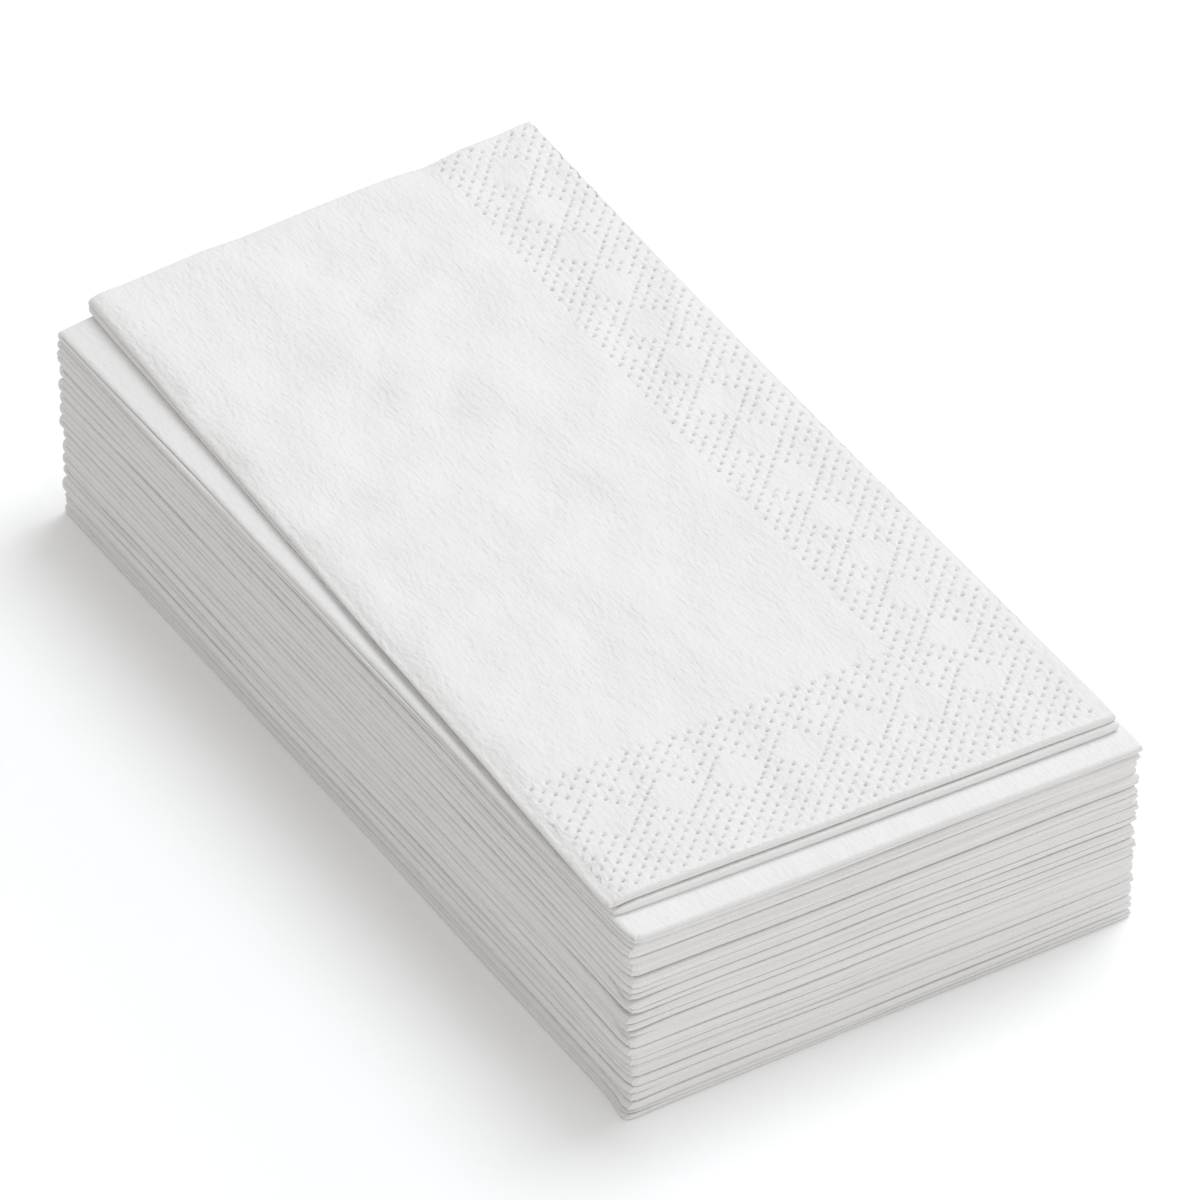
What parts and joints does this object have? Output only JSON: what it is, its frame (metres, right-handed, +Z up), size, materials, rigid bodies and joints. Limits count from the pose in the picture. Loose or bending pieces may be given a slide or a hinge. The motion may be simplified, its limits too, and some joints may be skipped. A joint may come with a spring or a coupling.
{
  "type": "stack of paper napkins",
  "caption": "Square white tissue napkins, each folded to a long eighth, in a neat stack; the top one lies askew and shows an embossed border of dots and diamonds.",
  "frame": {"origin": "middle of the ground under the bottom napkin", "axes": "+Z up through the stack, +Y along the napkins from their short open end to their short folded end, +X across them from the long folded side to the long open side"},
  "size_m": [0.1064, 0.2071, 0.0418],
  "materials": {
    "tissue": "soft matte white two-ply tissue with a fine fibre grain"
  },
  "bodies": {
    "root": {"napkin_01": "tissue", "napkin_02": "tissue", "napkin_03": "tissue", "napkin_04": "tissue", "napkin_05": "tissue", "napkin_06": "tissue", "napkin_07": "tissue", "napkin_08": "tissue", "napkin_09": "tissue", "napkin_10": "tissue", "napkin_11": "tissue", "napkin_12": "tissue", "napkin_13": "tissue", "napkin_14": "tissue", "napkin_15": "tissue", "napkin_top": "tissue"}
  },
  "joints": []
}
